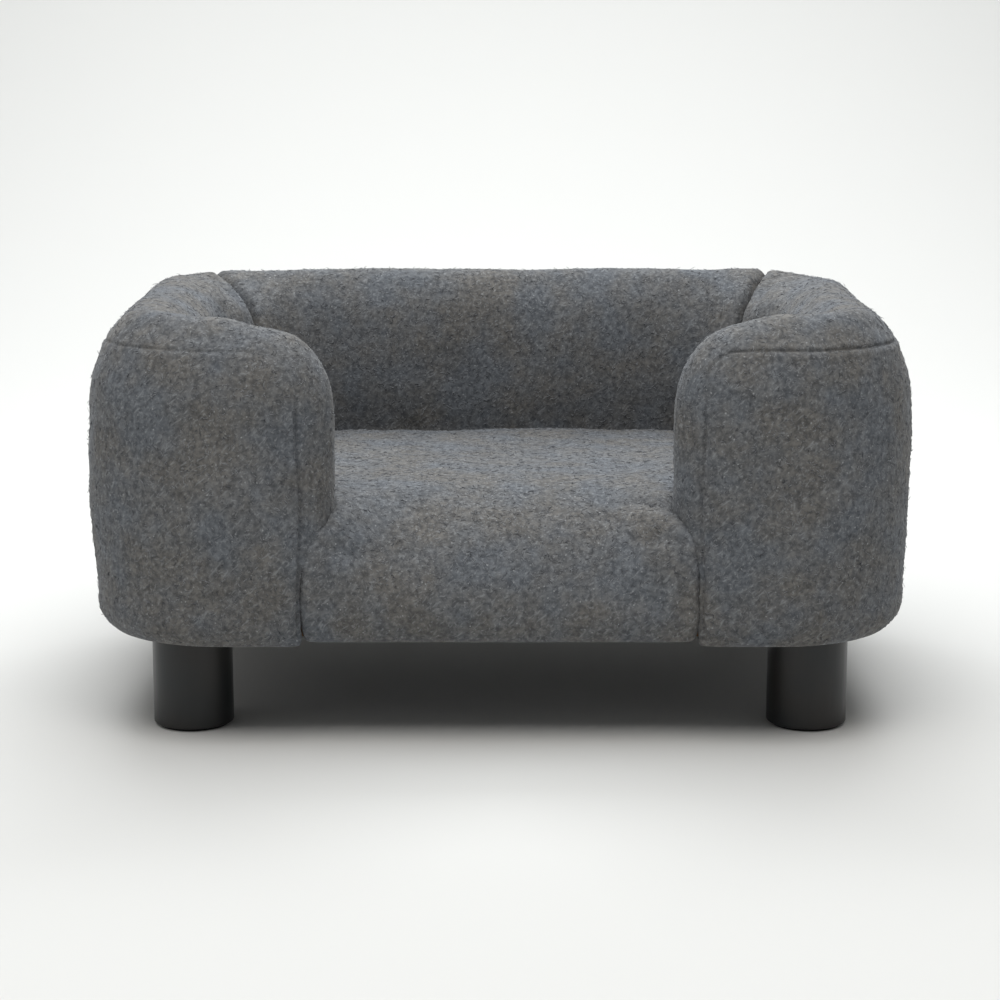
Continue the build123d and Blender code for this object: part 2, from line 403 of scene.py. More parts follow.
def armSeam(side, endX):
    # along the top outer edge from the rear seam to the front, then down the return's end
    out, z = armShape["seamOut"], armShape["seamZ"]
    radius = wall["middleRadius"] + out
    line = []
    for a in np.linspace(150, 180, 20):
        line.append((wall["cornerX"] + radius * math.cos(math.radians(180 - a)),
                     wall["cornerY"] + radius * math.sin(math.radians(180 - a)), z))
    for y in np.linspace(wall["cornerY"], -wall["cornerY"], 120):
        line.append((wall["cornerX"] + radius, y, z))
    for a in np.linspace(0, 90, 60):
        line.append((wall["cornerX"] + radius * math.cos(math.radians(a)),
                     -wall["cornerY"] - radius * math.sin(math.radians(a)), z))
    turn = 0.020
    seamX, frontY = armShape["seamX"], -wallMiddleY - out
    for x in np.linspace(wall["cornerX"], seamX + turn, 20):
        line.append((x, frontY, z))
    for a in np.linspace(0, 90, 24):
        line.append((seamX + turn - turn * math.sin(math.radians(a)),
                     frontY - 0.006 * math.sin(math.radians(a)), z - turn + turn * math.cos(math.radians(a))))
    for height in np.linspace(z - turn, wall["low"], 100):
        line.append((seamX + 0.001 * math.sin(height * 60), frontY - 0.008, height))
    return [(side * x, y, z) for x, y, z in line]


def snapToSurface(piece, line):
    # pulls a seam's points onto the cover, evenly spaced
    snapped = [tuple(piece.closest_point_on_mesh(Vector(point))[1]) for point in line]
    points = np.array(snapped)
    along = np.concatenate([[0], np.cumsum(np.linalg.norm(np.diff(points, axis=0), axis=1))])
    even = np.arange(0, along[-1], mm(1.0))
    return [tuple(np.interp(at, along, points[:, k]) for k in range(3)) for at in even]


def mitreSoftened(piece, centre, direction, radius):
    # rounds the end that meets its neighbour at a corner seam
    points, normals = getPoints(piece), getNormals(piece)
    across = np.array([-direction[1], direction[0], 0.0])
    gap = np.abs((points - np.array([*centre, 0.0])) @ across)
    near = np.clip(radius - gap, 0, radius)
    inwards = radius - np.sqrt(np.maximum(radius ** 2 - near ** 2, 0))
    flat = normals - np.outer(normals @ across, across)
    setPoints(piece, points - flat * inwards[:, None])


def puffCorners(piece):
    # the filling stands higher over the front corners, and bunches up inside the rear ones
    points = getPoints(piece)
    x, y, z = points.T
    towardsFront = np.arctan2(-y - wall["cornerY"] + 1e-9, np.abs(x) - wall["cornerX"])
    round1 = np.exp(-(((towardsFront - 0.75) / 0.75) ** 2)) * (y < 0)
    reach = np.exp(-((np.maximum(-wall["cornerY"] - y, 0) / 0.2) ** 2)) * np.exp(
        -((np.maximum(y + wall["cornerY"], 0) / 0.045) ** 2)
    )
    across = np.exp(-((np.maximum(wall["cornerX"] - np.abs(x), 0) / 0.016) ** 2))
    out = planOut(x, y)
    lift = cornerPuff["rise"] * np.maximum(round1, 0.55) * reach * across * (1 - smoothStep(0.008, 0.028, out))
    points[:, 2] = z + lift * smoothStep(0.275, 0.308, z)
    inside = (1 - smoothStep(-0.036, 0.0, out)) * smoothStep(0.190, 0.245, z)
    diagonal = np.arctan2(np.maximum(y - 0.085, 1e-6), np.maximum(np.abs(x) - 0.165, 1e-6))
    near = np.exp(-(((np.abs(x) - 0.216) / 0.032) ** 2) - (((y - 0.136) / 0.032) ** 2))
    push = cornerPuff["fill"] * inside * near * (y > 0)
    points[:, 0] -= np.sign(x) * push * np.cos(diagonal)
    points[:, 1] -= push * np.sin(diagonal)
    setPoints(piece, points)


def splayRear(piece):
    # the arms open out a little towards the rear, and the top seam draws their outer edge in
    points = getPoints(piece)
    x, y, z = points.T
    share = np.where(x < 0, arms["armLeft"]["splay"], arms["armRight"]["splay"])
    share = share * smoothStep(-0.135, 0.135, y) * smoothStep(0.09, 0.22, z)
    tuck = np.where(x < 0, arms["armLeft"]["tuckIn"], arms["armRight"]["tuckIn"])
    tuck = tuck * np.exp(-(((z - 0.285) / 0.024) ** 2)) * smoothStep(0.0, 0.025, planOut(x, y))
    points[:, 0] = x * (1 + share) - np.sign(x) * tuck * smoothStep(0.200, 0.255, np.abs(x))
    setPoints(piece, points)


def makeArm(name, values):
    side, mitre = values["side"], values["mitre"]
    rear = wall["cornerY"]

    def place(out, up):
        return Vector((side * (wallMiddleX + out), rear, up))

    piece = sectionFace(name, wallSection(wall), place)
    makeActive(piece)
    bpy.ops.object.mode_set(mode="EDIT")
    bpy.ops.mesh.select_all(action="SELECT")
    extrudeSteps((0, -2 * rear, 0), 20)
    spinTo(-side * 90, (side * wall["cornerX"], -rear), 12)
    startX = values["endX"] + armShape["endRound"]
    extrudeSteps((side * (startX - wall["cornerX"]), 0, 0), 8)
    roundEnd(piece, side, startX, armShape["endRound"])
    mesh = bmesh.from_edit_mesh(piece.data)
    for vertex in mesh.verts:
        if vertex.co.y < -rear and vertex.co.z > armShape["endBase"]:
            sink = armShape["endSink"] * float(smoothStep(-0.197, -0.150, -side * vertex.co.x))
            vertex.co.z = armShape["endBase"] + (vertex.co.z - armShape["endBase"]) * (1 - sink)
    bmesh.update_edit_mesh(piece.data)
    selectCap(piece, (side * wallMiddleX, rear, 0.2))
    spinTo(side * mitre, (side * wall["cornerX"], rear), 8)
    finishForm(piece)
    clearSelection()
    seatSide = (side * (armShape["seamX"] / 2 + 0.04), -wallMiddleY, armShape["ledge"] - 0.05)
    bpy.ops.mesh.primitive_cube_add(size=1, location=seatSide)
    bpy.context.object.scale = (armShape["seamX"] - 0.08, 0.12, 0.10)
    cutAway(piece, bpy.context.object)
    remesh(piece, wall["voxel"])
    relax(piece, 3)

    seam = snapToSurface(piece, armSeam(side, values["endX"]))
    points = getPoints(piece)
    seamGap, _ = nearLine(piece, seam)
    a = math.radians(mitre)
    direction = (side * math.cos(a), math.sin(a))
    centre = (side * wall["cornerX"], rear)
    mitreGap = np.abs((points - np.array([*centre, 0])) @ np.array([-direction[1], direction[0], 0]))
    held = (seamGap < 0.006) | (mitreGap < 0.008) | (points[:, 2] < wall["flat"] + 0.012)
    inner = (np.abs(points[:, 0]) < 0.228) & (np.abs(points[:, 1]) < 0.148) & (points[:, 2] < 0.178)
    holdAndSwell(piece, held | inner, armShape["pressure"], armShape["cap"])
    subdivideOnce(piece)
    mitreSoftened(piece, centre, direction, armShape["mitreRound"])
    roughen(piece, values["seed"], 0.11, 0.0009)
    roughen(piece, values["seed"] + 1, 0.035, 0.0003)
    seam = snapToSurface(piece, seam)
    refineNear(piece, seam, 0.009, 2)
    down = 1 - smoothStep(0.250, 0.275, np.array(seam)[:, 2])
    fade = 1 - values["topFade"] * (1 - smoothStep(0.15, 0.22, np.abs(np.array(seam)[:, 0])))
    carveSeam(piece, seam, down * values["sideSeam"] + (1 - down) * values["topSeam"] * fade, values["seed"])
    puffCorners(piece)
    splayRear(piece)
    hangLip(piece, wall["lipDrop"])
    makeActive(piece)
    bpy.ops.object.shade_smooth()
    print(name, "made,", len(piece.data.polygons), "faces")
    return piece


# back roll between the arms
backShape = {"pressure": 3.0, "cap": 0.0030, "seed": 37, "seamOut": 0.0295, "seamZ": 0.2905}


def makeBackRoll():
    turns = {side["side"]: 90 - side["mitre"] for side in arms.values()}

    def place(out, up):
        return Vector((-wall["cornerX"], wallMiddleY + out, up))

    piece = sectionFace("backRoll", wallSection(wall), place)
    makeActive(piece)
    bpy.ops.object.mode_set(mode="EDIT")
    bpy.ops.mesh.select_all(action="SELECT")
    extrudeSteps((2 * wall["cornerX"], 0, 0), 34)
    spinTo(-turns[1], (wall["cornerX"], wall["cornerY"]), 5)
    selectCap(piece, (-wall["cornerX"], wallMiddleY, 0.2))
    spinTo(turns[-1], (-wall["cornerX"], wall["cornerY"]), 5)
    finishForm(piece)
    remesh(piece, wall["voxel"])
    relax(piece, 3)

    radius = wall["middleRadius"] + backShape["seamOut"]
    seam = []
    for sideSign in (-1, 1):
        arc = [(sideSign * (wall["cornerX"] + radius * math.sin(math.radians(a))),
                wall["cornerY"] + radius * math.cos(math.radians(a)), backShape["seamZ"])
               for a in np.linspace(0, turns[sideSign], 40)]
        seam = (arc[::-1] if sideSign < 0 else seam + arc)
        if sideSign < 0:
            seam += [(x, wall["cornerY"] + radius, backShape["seamZ"])
                     for x in np.linspace(-wall["cornerX"], wall["cornerX"], 300)]
    seam = snapToSurface(piece, seam)
    points = getPoints(piece)
    seamGap, _ = nearLine(piece, seam)
    held = (seamGap < 0.006) | (points[:, 2] < wall["flat"] + 0.012)
    held |= (points[:, 1] < 0.150) & (points[:, 2] < 0.178)
    ends = []
    for values in arms.values():
        a = math.radians(values["mitre"])
        direction = (values["side"] * math.cos(a), math.sin(a))
        centre = (values["side"] * wall["cornerX"], wall["cornerY"])
        across = np.array([-direction[1], direction[0], 0])
        onSide = points[:, 0] * values["side"] > 0
        held |= onSide & (np.abs((points - np.array([*centre, 0])) @ across) < 0.008)
        ends.append((centre, direction))
    holdAndSwell(piece, held, backShape["pressure"], backShape["cap"])
    subdivideOnce(piece)
    for centre, direction in ends:
        before = getPoints(piece)
        mitreSoftened(piece, centre, direction, armShape["mitreRound"])
        after = getPoints(piece)
        otherSide = before[:, 0] * centre[0] < 0
        after[otherSide] = before[otherSide]
        setPoints(piece, after)
    roughen(piece, backShape["seed"], 0.12, 0.0010)
    roughen(piece, backShape["seed"] + 1, 0.035, 0.0003)
    seam = snapToSurface(piece, seam)
    refineNear(piece, seam, 0.008, 1)
    carveSeam(piece, seam, np.ones(len(seam)), backShape["seed"])
    puffCorners(piece)
    splayRear(piece)
    hangLip(piece, wall["lipDrop"])
    makeActive(piece)
    bpy.ops.object.shade_smooth()
    print("backRoll made,", len(piece.data.polygons), "faces")
    return piece


# seat: one padded piece that rolls over at the front and runs down to the base
seatShape = {
    "top": 0.1785,
    "backY": 0.1455,
    "wingX": 0.2245,
    "wingFront": 0.1455,
    "tongueX": 0.1442,
    "front": 0.2240,
    "nose": 0.082,
    "square": 2.08,
    "sideSquare": 4.6,
    "low": 0.0795,
    "toe": 0.014,
    "lipDrop": 0.0040,
    "lean": 0.0060,
    "returnGap": 0.0400,
    "voxel": 0.0044,
    "pressure": 3.0,
    "cap": 0.0045,
    "edgeDrop": 0.0035,
    "seed": 53,
}


def seatSection():
    # side view of the seat: (forward, up), from the rear bottom forward and back over the top
    s = seatShape
    toe, nose, low = s["toe"], s["nose"], s["low"]
    line = [(s["backY"], wall["flat"]), (-0.192, wall["flat"]), (-0.203, low + 0.0005)]
    for i in range(7):
        z = low + toe * (1 - math.cos(math.radians(90 * i / 7)))
        roll = toe - math.sqrt(max(toe ** 2 - (toe - (z - low)) ** 2, 0))
        line.append((-s["front"] + roll + s["lean"] * (max(0.130 - z, 0) / 0.050) ** 1.5, z))
    for z in np.linspace(low + toe, s["top"] - nose, 2, endpoint=False):
        line.append((-s["front"] + s["lean"] * (max(0.130 - z, 0) / 0.050) ** 1.5, z))
    for i in range(17):
        a = math.radians(90 * i / 16)
        forward = nose * math.cos(a) ** (2 / s["square"])
        z = s["top"] - nose + nose * math.sin(a) ** (2 / s["square"])
        lean = s["lean"] * (max(0.130 - z, 0) / 0.050) ** 1.5
        line.append((-s["front"] + nose - forward + lean, z))
    line.append((s["backY"], s["top"]))
    return line


def squareNose(piece):
    # towards the arms the rolled front edge is squarer, as the cover is pulled tight round the corner
    s = seatShape
    points = getPoints(piece)
    x, y, z = points.T
    across, up = (-y - s["front"] + s["nose"]) / s["nose"], (z - s["top"] + s["nose"]) / s["nose"]
    nose = (across > 0) & (up > 0)
    a = np.arctan2(np.where(nose, up, 1), np.where(nose, across, 1))

    def reach(power):
        return (np.cos(a) ** power + np.sin(a) ** power) ** (-1 / power)

    power = s["square"] + (s["sideSquare"] - s["square"]) * smoothStep(0.080, 0.138, np.abs(x))
    grow = np.where(nose, reach(power) / reach(s["square"]), 1)
    points[:, 1] = np.where(nose, -(s["front"] - s["nose"] + across * grow * s["nose"]), y)
    points[:, 2] = np.where(nose, s["top"] - s["nose"] + up * grow * s["nose"], z)
    setPoints(piece, points)


def makeSeat():
    s = seatShape

    def place(forward, up):
        return Vector((-s["tongueX"], forward, up))

    piece = sectionFace("seatPad", seatSection(), place)
    makeActive(piece)
    bpy.ops.object.mode_set(mode="EDIT")
    bpy.ops.mesh.select_all(action="SELECT")
    extrudeSteps((2 * s["tongueX"], 0, 0), 48)
    finishForm(piece)
    squareNose(piece)
    clearSelection()
    middle = (0, (s["backY"] - s["wingFront"]) / 2, (s["top"] + wall["flat"]) / 2)
    bpy.ops.mesh.primitive_cube_add(size=1, location=middle)
    wings = bpy.context.object
    wings.scale = (2 * s["wingX"], s["backY"] + s["wingFront"], s["top"] - wall["flat"])
    finishForm(wings)
    applyModifier(piece, "BOOLEAN", operation="UNION", object=wings, solver="EXACT")
    bpy.data.objects.remove(wings)
    for values in arms.values():
        clearSelection()
        endX = values["side"] * (values["endX"] + armShape["endRound"])
        place = (endX, -wallMiddleY, armShape["ledge"] + 0.1)
        bpy.ops.mesh.primitive_cylinder_add(vertices=64, radius=s["returnGap"], depth=0.2, location=place)
        cutAway(piece, bpy.context.object)
    remesh(piece, s["voxel"])
    relax(piece, 3)

    x, y, z = getPoints(piece).T
    sides = (np.abs(x) > s["wingX"] - 0.004) | (y > s["backY"] - 0.004) | (z < s["low"] + 0.014)
    hidden = (z < 0.12) & (y > -0.205)
    behindSeam = (np.abs(x) > s["tongueX"] - 0.005) & (y < -0.150)
    holdAndSwell(piece, sides | behindSeam | hidden, s["pressure"], s["cap"])
    points = getPoints(piece)
    x, y, z = points.T
    wallGap = np.minimum(s["wingX"] - np.abs(x), s["backY"] - y)
    onTop = (z > 0.150) & (y > -0.150)
    points[:, 2] = z - s["edgeDrop"] * np.where(onTop, np.exp(-((wallGap / 0.014) ** 2)), 0)
    setPoints(piece, points)
    subdivideOnce(piece)
    roughen(piece, s["seed"], 0.12, 0.0012)
    roughen(piece, s["seed"] + 1, 0.04, 0.0004)
    hangLip(piece, s["lipDrop"])
    makeActive(piece)
    bpy.ops.object.shade_smooth()
    print("seatPad made,", len(piece.data.polygons), "faces")
    return piece


softPieces = {}
for armName, armValues in arms.items():
    softPieces[armName] = makeArm(armName, armValues)
softPieces["backRoll"] = makeBackRoll()
softPieces["seatPad"] = makeSeat()


# black cloth stapled over the underside
underside = {
    "half": (0.278, 0.198),
    "corner": 0.073,
    "top": 0.0814,
    "thick": 0.0005,
    "sag": 0.0030,
    "staples": 0.045,
    "scallop": 0.0007,
    "legs": (0.232, 0.149),
}


def makeUnderside():
    u = underside
    halfX, halfY = u["half"]
    clearSelection()
    bpy.ops.mesh.primitive_grid_add(x_subdivisions=112, y_subdivisions=80, size=2, location=(0, 0, u["top"]))
    piece = bpy.context.object
    piece.name = piece.data.name = "undersideCloth"
    piece.scale = (halfX, halfY, 1)
    bpy.ops.object.transform_apply(location=True, rotation=True, scale=True)
    points = getPoints(piece)
    x, y = points[:, 0], points[:, 1]
    inX, inY = np.abs(x) - (halfX - u["corner"]), np.abs(y) - (halfY - u["corner"])
    corner = (inX > 0) & (inY > 0)
    pull = np.where(corner, np.maximum(inX, inY) / np.maximum(np.hypot(inX, inY), 1e-9), 1)
    x = np.where(corner, np.sign(x) * (halfX - u["corner"] + inX * pull), x)
    y = np.where(corner, np.sign(y) * (halfY - u["corner"] + inY * pull), y)
    outX, outY = np.abs(x) - (halfX - u["corner"]), np.abs(y) - (halfY - u["corner"])
    edge = u["corner"] - np.hypot(np.maximum(outX, 0), np.maximum(outY, 0)) - np.minimum(np.maximum(outX, outY), 0)
    legGap = np.hypot(np.abs(x) - u["legs"][0], np.abs(y) - u["legs"][1])
    free = smoothStep(0.034, 0.085, legGap)
    sag = u["sag"] * smoothStep(0.0, 0.11, edge) * free * (0.8 + 0.2 * unevenness(points, 5, 0.16))
    along = np.where(np.abs(x) / halfX > np.abs(y) / halfY, y, x)
    scallop = u["scallop"] * (0.5 - 0.5 * np.cos(along / u["staples"] * 2 * math.pi)) * np.exp(-((edge / 0.014) ** 2))
    setPoints(piece, np.stack([x, y, u["top"] - sag - scallop * free], axis=1))
    finishForm(piece)
    applyModifier(piece, "SOLIDIFY", thickness=u["thick"], offset=0)
    makeActive(piece)
    bpy.ops.object.shade_smooth()
    print("undersideCloth made,", len(piece.data.polygons), "faces")
    return piece


undersideCloth = makeUnderside()


# materials

def toLinear(hexColour):
    channels = [int(hexColour[i : i + 2], 16) / 255 for i in (1, 3, 5)]
    return [c / 12.92 if c <= 0.04045 else ((c + 0.055) / 1.055) ** 2.4 for c in channels] + [1.0]


def addNode(material, kind, links=None, values=None, **settings):
    # links are {input: (node, output)} and values {input: value}; other settings are the node's own
    node = material.node_tree.nodes.new(kind)
    for key, value in settings.items():
        if hasattr(node, key) and key not in node.inputs:
            setattr(node, key, value)
        else:
            node.inputs[key].default_value = value
    for key, value in (values or {}).items():
        node.inputs[key].default_value = value
    for key, (source, output) in (links or {}).items():
        material.node_tree.links.new(source.outputs[output], node.inputs[key])
    return node


def newMaterial(name):
    material = bpy.data.materials.new(name)
    material.use_nodes = True
    material.node_tree.nodes.clear()
    return material


tweedSet = {
    "cool": "#75797e",
    "warm": "#797774",
    "dark": "#4c4e51",
    "light": "#a3a6a9",
    "kemp": "#c0c2c4",
    "patch": 48.0,  # mm between cooler and warmer batches of wool
    "mottle": 11.0,  # mm between thicker and thinner places in the felt
    "tangle": 4.0,  # mm between knots of tangled fibre
    "strandWidth": 1.1,  # mm, drawn many times as coarse as a wool fibre so that it shows
    "strandLength": 6.5,  # mm
    "fleck": 3.2,  # mm between kemp flecks
}


def makeTweed():
    # wool tweed, woven from flecked yarn, then felted and brushed: the weave is gone, and what is left is
    # a mat of short curled fibres, lighter and darker than the ground, with batches of cooler and warmer wool
    t = tweedSet
    material = newMaterial("woolTweed")
    place = addNode(material, "ShaderNodeTexCoord")
    onPlace = {"Vector": (place, "Object")}

    # ground: each layer is a noise at a real spacing, its low and high turned to a pair of tones
    layers = (
        (t["patch"], 3.0, (0.38, 0.62), t["cool"], t["warm"]),
        (t["mottle"], 4.0, (0.30, 0.70), "#e8e8e8", "#ffffff"),
        (t["tangle"], 2.5, (0.34, 0.66), "#bcbdc0", "#ffffff"),
    )
    colour = None
    for period, detail, (low, high), first, second in layers:
        noise = addNode(material, "ShaderNodeTexNoise", onPlace, Scale=1000 / period, Detail=detail, Roughness=0.6)
        level = addNode(material, "ShaderNodeMapRange", {"Value": (noise, "Fac")}, {"From Min": low, "From Max": high})
        tones = {6: toLinear(first), 7: toLinear(second)}
        tone = addNode(material, "ShaderNodeMix", {0: (level, "Result")}, tones, data_type="RGBA")
        if colour is None:
            colour = tone
            continue
        both = {6: (colour, 2), 7: (tone, 2)}
        colour = addNode(material, "ShaderNodeMix", both, {0: 1.0}, data_type="RGBA", blend_type="MULTIPLY")

    # curled strands: noise drawn out along four directions, on slightly waved coordinates
    curl = addNode(material, "ShaderNodeTexNoise", onPlace, Scale=1000 / 14.0, Detail=1.0)
    wave = addNode(material, "ShaderNodeVectorMath", {0: (curl, "Color")}, {"Scale": 0.006}, operation="SCALE")
    waved = addNode(material, "ShaderNodeVectorMath", {0: (place, "Object"), 1: (wave, "Vector")}, operation="ADD")
    stretch = (1, 1, t["strandLength"] / t["strandWidth"] * 0.7)
    masks = []
    for turns in (((1.5, 0.3, 1.2), (2.4, 1.3, 0.6)), ((0.2, 0.8, 0.0), (0.9, 2.2, 2.6))):
        strands = []
        for turn in turns:
            turned = addNode(
                material, "ShaderNodeMapping", {"Vector": (waved, "Vector")},
                {"Rotation": turn, "Scale": stretch}, vector_type="TEXTURE",
            )
            drawn = addNode(
                material, "ShaderNodeTexNoise", {"Vector": (turned, "Vector")},
                Scale=1000 / (t["strandWidth"] * 1.7), Detail=1.5,
            )
            strands.append(addNode(
                material, "ShaderNodeMapRange", {"Value": (drawn, "Fac")},
                {"From Min": 0.56, "From Max": 0.76}, interpolation_type="SMOOTHSTEP",
            ))
        pair = {0: (strands[0], "Result"), 1: (strands[1], "Result")}
        masks.append(addNode(material, "ShaderNodeMath", pair, operation="MAXIMUM"))

    # kemp: rare pale specks of coarse hair that doesn't take the dye
    cells = addNode(material, "ShaderNodeTexVoronoi", {"Vector": (waved, "Vector")}, Scale=1000 / t["fleck"])
    speck = addNode(
        material, "ShaderNodeMapRange", {"Value": (cells, "Distance")}, {"From Min": 0.24, "From Max": 0.10},
    )
    chosen = addNode(material, "ShaderNodeSeparateColor", {"Color": (cells, "Color")})
    rare = addNode(material, "ShaderNodeMapRange", {"Value": (chosen, "Red")}, {"From Min": 0.86, "From Max": 0.90})
    pale = addNode(material, "ShaderNodeMath", {0: (speck, "Result"), 1: (rare, "Result")}, operation="MULTIPLY")
    marks = ((masks[0], 0.50, t["dark"]), (masks[1], 0.34, t["light"]), (pale, 0.45, t["kemp"]))
    for mask, amount, hexColour in marks:
        share = addNode(material, "ShaderNodeMath", {0: (mask, "Value")}, {1: amount}, operation="MULTIPLY")
        links = {0: (share, "Value"), 6: (colour, 2)}
        colour = addNode(material, "ShaderNodeMix", links, {7: toLinear(hexColour)}, data_type="RGBA")

    relief = {0: (masks[1], "Value"), 1: (level, "Result")}
    height = addNode(material, "ShaderNodeMath", relief, operation="ADD")
    bump = addNode(material, "ShaderNodeBump", {"Height": (height, "Value")}, Strength=0.28, Distance=0.0006)
    surface = {"Specular IOR Level": 0.15, "Sheen Weight": 0.12, "Sheen Roughness": 0.4}
    links = {"Base Color": (colour, 2), "Normal": (bump, "Normal")}
    shader = addNode(material, "ShaderNodeBsdfPrincipled", links, surface, Roughness=0.95)
    addNode(material, "ShaderNodeOutputMaterial", {"Surface": (shader, "BSDF")})
    return material


def makeNapWool():
    # loose wool fibres raised by brushing: pale, matt, each a slightly different grey
    material = newMaterial("brushedWoolFibre")
    place = addNode(material, "ShaderNodeTexCoord")
    noise = addNode(material, "ShaderNodeTexNoise", {"Vector": (place, "Object")}, Scale=160.0, Detail=1.0)
    tone = addNode(material, "ShaderNodeValToRGB", {"Fac": (noise, "Fac")})
    tone.color_ramp.elements[0].position = 0.38
    tone.color_ramp.elements[0].color = toLinear("#54565a")
    tone.color_ramp.elements[1].position = 0.62
    tone.color_ramp.elements[1].color = toLinear("#94969a")
    shader = addNode(material, "ShaderNodeBsdfPrincipled", {"Base Color": (tone, "Color")}, Roughness=0.9)
    shader.inputs["Specular IOR Level"].default_value = 0.2
    addNode(material, "ShaderNodeOutputMaterial", {"Surface": (shader, "BSDF")})
    return material


def makePlain(name, colour, roughness, metallic=0.0):
    material = newMaterial(name)
    shader = addNode(material, "ShaderNodeBsdfPrincipled", Roughness=roughness, Metallic=metallic)
    shader.inputs["Base Color"].default_value = toLinear(colour)
    addNode(material, "ShaderNodeOutputMaterial", {"Surface": (shader, "BSDF")})
    return material


tweed = makeTweed()
napWool = makeNapWool()


def makeWood(name, light, dark, ring, turn, roughness):
    # sawn softwood or veneer: long pale and darker growth bands with fine fibres along the board
    material = newMaterial(name)
    place = addNode(material, "ShaderNodeTexCoord")
    turned = addNode(material, "ShaderNodeMapping", {"Vector": (place, "Object")}, vector_type="TEXTURE")
    turned.inputs["Rotation"].default_value = turn
    turned.inputs["Scale"].default_value = (9, 1, 1)
    bands = addNode(material, "ShaderNodeTexNoise", {"Vector": (turned, "Vector")}, Scale=1000 / ring, Detail=3.0)
    fibre = addNode(material, "ShaderNodeTexNoise", {"Vector": (turned, "Vector")}, Scale=1000 / 1.2, Detail=2.0)
    both = addNode(material, "ShaderNodeMath", {0: (bands, "Fac"), 1: (fibre, "Fac")}, operation="ADD")
    tone = addNode(material, "ShaderNodeMapRange", {"Value": (both, "Value")})
    tone.inputs["From Min"].default_value = 0.75
    tone.inputs["From Max"].default_value = 1.25
    colour = addNode(material, "ShaderNodeMix", {0: (tone, "Result")}, data_type="RGBA")
    colour.inputs[6].default_value = toLinear(light)
    colour.inputs[7].default_value = toLinear(dark)
    bump = addNode(material, "ShaderNodeBump", {"Height": (fibre, "Fac")}, Strength=0.25, Distance=0.0003)
    links = {"Base Color": (colour, 2), "Normal": (bump, "Normal")}
    shader = addNode(material, "ShaderNodeBsdfPrincipled", links, Roughness=roughness)
    addNode(material, "ShaderNodeOutputMaterial", {"Surface": (shader, "BSDF")})
    return material


def makeLacquer():
    # turned beech, stained black and sprayed with satin lacquer: near black, a soft sheen down the side,
    # the grain only just felt through the film
    material = newMaterial("satinBlackLacquer")
    place = addNode(material, "ShaderNodeTexCoord")
    turned = addNode(material, "ShaderNodeMapping", {"Vector": (place, "Object")}, vector_type="TEXTURE")
    turned.inputs["Scale"].default_value = (1, 1, 14)
    grain = addNode(material, "ShaderNodeTexNoise", {"Vector": (turned, "Vector")}, Scale=1000 / 1.6, Detail=3.0)
    cloud = addNode(material, "ShaderNodeTexNoise", {"Vector": (place, "Object")}, Scale=1000 / 45, Detail=2.0)
    tone = addNode(material, "ShaderNodeMapRange", {"Value": (cloud, "Fac")})
    tone.inputs["From Min"].default_value = 0.35
    tone.inputs["From Max"].default_value = 0.65
    colour = addNode(material, "ShaderNodeMix", {0: (tone, "Result")}, data_type="RGBA")
    colour.inputs[6].default_value = toLinear("#15191b")
    colour.inputs[7].default_value = toLinear("#1d1a18")
    rough = addNode(material, "ShaderNodeMapRange", {"Value": (grain, "Fac")})
    rough.inputs["To Min"].default_value = 0.30
    rough.inputs["To Max"].default_value = 0.46
    bump = addNode(material, "ShaderNodeBump", {"Height": (grain, "Fac")}, Strength=0.12, Distance=0.0003)
    links = {"Base Color": (colour, 2), "Roughness": (rough, "Result"), "Normal": (bump, "Normal")}
    shader = addNode(material, "ShaderNodeBsdfPrincipled", links)
    addNode(material, "ShaderNodeOutputMaterial", {"Surface": (shader, "BSDF")})
    return material


def makeHardboard():
    # pressed wood fibre: brown, matt, speckled with coarser fibre bundles
    material = newMaterial("hardboard")
    place = addNode(material, "ShaderNodeTexCoord")
    fibre = addNode(material, "ShaderNodeTexNoise", {"Vector": (place, "Object")}, Scale=1000 / 2.5, Detail=4.0)
    colour = addNode(material, "ShaderNodeMix", {0: (fibre, "Fac")}, data_type="RGBA")
    colour.inputs[6].default_value = toLinear("#5a4029")
    colour.inputs[7].default_value = toLinear("#7d5f41")
    bump = addNode(material, "ShaderNodeBump", {"Height": (fibre, "Fac")}, Strength=0.2, Distance=0.0002)
    links = {"Base Color": (colour, 2), "Normal": (bump, "Normal")}
    shader = addNode(material, "ShaderNodeBsdfPrincipled", links, Roughness=0.75)
    addNode(material, "ShaderNodeOutputMaterial", {"Surface": (shader, "BSDF")})
    return material


def makeZinc():
    # zinc-plated steel: pale grey metal with a faint cloudy spangle
    material = newMaterial("zincPlatedSteel")
    place = addNode(material, "ShaderNodeTexCoord")
    cloud = addNode(material, "ShaderNodeTexNoise", {"Vector": (place, "Object")}, Scale=1000 / 4, Detail=3.0)
    rough = addNode(material, "ShaderNodeMapRange", {"Value": (cloud, "Fac")})
    rough.inputs["To Min"].default_value = 0.25
    rough.inputs["To Max"].default_value = 0.45
    shader = addNode(material, "ShaderNodeBsdfPrincipled", {"Roughness": (rough, "Result")}, Metallic=1.0)
    shader.inputs["Base Color"].default_value = toLinear("#c3c4c2")
    addNode(material, "ShaderNodeOutputMaterial", {"Surface": (shader, "BSDF")})
    return material


